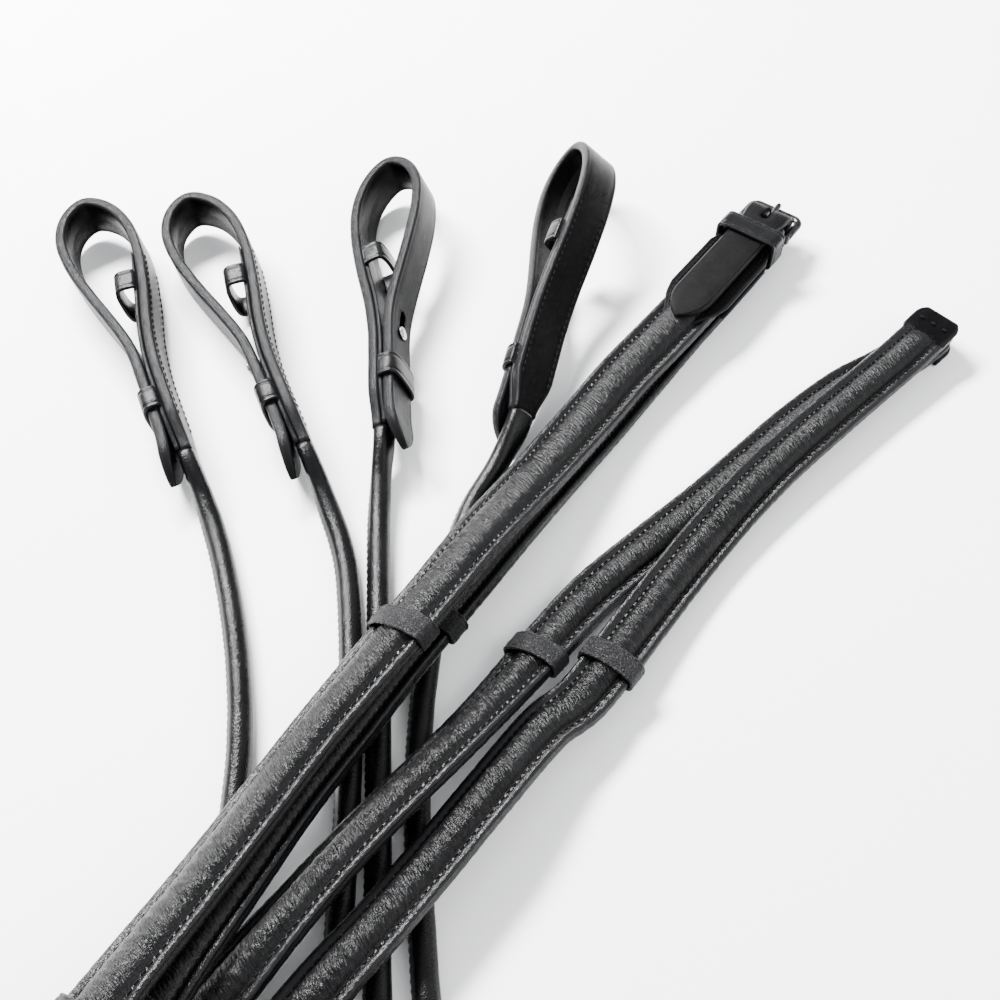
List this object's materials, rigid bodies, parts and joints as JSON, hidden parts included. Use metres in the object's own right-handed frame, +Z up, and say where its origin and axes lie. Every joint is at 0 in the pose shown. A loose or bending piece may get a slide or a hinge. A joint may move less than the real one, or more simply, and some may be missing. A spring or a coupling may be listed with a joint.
{
  "type": "set of bridle reins",
  "caption": "Leather bridle reins, a wide and a narrow one, with padded hand grips, hand stops, rolled straps, hook-stud billet loops and a centre buckle.",
  "frame": {"origin": "centre of the laid-out set's footprint, on the surface that it lies on", "axes": "+Z up from the surface, +Y along the reins towards the billet loops, +X towards the centre buckle's side"},
  "size_m": [0.3292, 0.643, 0.0333],
  "materials": {
    "strap_leather": "satin black bridle leather with burnished edges",
    "padded_leather": "soft black leather with fine cross wrinkles and sewn edges",
    "rolled_leather": "polished black rolled leather",
    "keeper_leather": "smooth satin black leather with creased edge lines",
    "suede_leather": "rough matt black leather",
    "buckle_steel": "dark polished steel",
    "stud_steel": "polished steel"
  },
  "bodies": {
    "root": {"wide_left_backing_strap": "strap_leather", "wide_left_padded_cover": "padded_leather", "wide_left_rolled_strap": "rolled_leather", "wide_left_billet_strap": "strap_leather", "wide_left_billet_liner": "strap_leather", "wide_left_upper_keeper": "keeper_leather", "wide_left_lower_keeper": "keeper_leather", "wide_left_hook_stud": "stud_steel", "wide_left_stop_1": "suede_leather", "wide_left_stop_2": "suede_leather", "wide_left_stop_3": "suede_leather", "wide_left_stop_4": "suede_leather", "wide_right_backing_strap": "strap_leather", "wide_right_padded_cover": "padded_leather", "wide_right_rolled_strap": "rolled_leather", "wide_right_billet_strap": "strap_leather", "wide_right_billet_liner": "strap_leather", "wide_right_upper_keeper": "keeper_leather", "wide_right_lower_keeper": "keeper_leather", "wide_right_hook_stud": "stud_steel", "wide_right_stop_1": "suede_leather", "wide_right_stop_2": "suede_leather", "wide_right_stop_3": "suede_leather", "wide_right_stop_4": "suede_leather", "narrow_left_backing_strap": "strap_leather", "narrow_left_padded_cover": "padded_leather", "narrow_left_rolled_strap": "rolled_leather", "narrow_left_billet_strap": "strap_leather", "narrow_left_billet_liner": "strap_leather", "narrow_left_upper_keeper": "keeper_leather", "narrow_left_lower_keeper": "keeper_leather", "narrow_left_hook_stud": "stud_steel", "narrow_left_stop_1": "suede_leather", "narrow_left_stop_2": "suede_leather", "narrow_left_stop_3": "suede_leather", "narrow_left_stop_4": "suede_leather", "narrow_right_backing_strap": "strap_leather", "narrow_right_padded_cover": "padded_leather", "narrow_right_rolled_strap": "rolled_leather", "narrow_right_billet_strap": "strap_leather", "narrow_right_billet_liner": "strap_leather", "narrow_right_upper_keeper": "keeper_leather", "narrow_right_lower_keeper": "keeper_leather", "narrow_right_hook_stud": "stud_steel", "narrow_right_stop_1": "suede_leather", "narrow_right_stop_2": "suede_leather", "narrow_right_stop_3": "suede_leather", "narrow_right_stop_4": "suede_leather", "buckle_chape": "strap_leather", "buckle_tab": "strap_leather", "centre_keeper": "keeper_leather", "narrow_centre_cap": "strap_leather"},
    "buckle_frame": {"buckle_frame": "buckle_steel"},
    "buckle_tongue": {"buckle_tongue": "buckle_steel"}
  },
  "joints": [
    {"name": "buckle_frame_hinge", "type": "hinge", "parent": "root", "child": "buckle_frame", "pos_m": [0.099, 0.2865, 0.0095], "axis": [0.8039, -0.5948, 0], "range_deg": [-10, 20]},
    {"name": "buckle_tongue_hinge", "type": "hinge", "parent": "buckle_frame", "child": "buckle_tongue", "pos_m": [0.099, 0.2865, 0.0095], "axis": [0.8039, -0.5948, 0], "range_deg": [0, 40]}
  ]
}
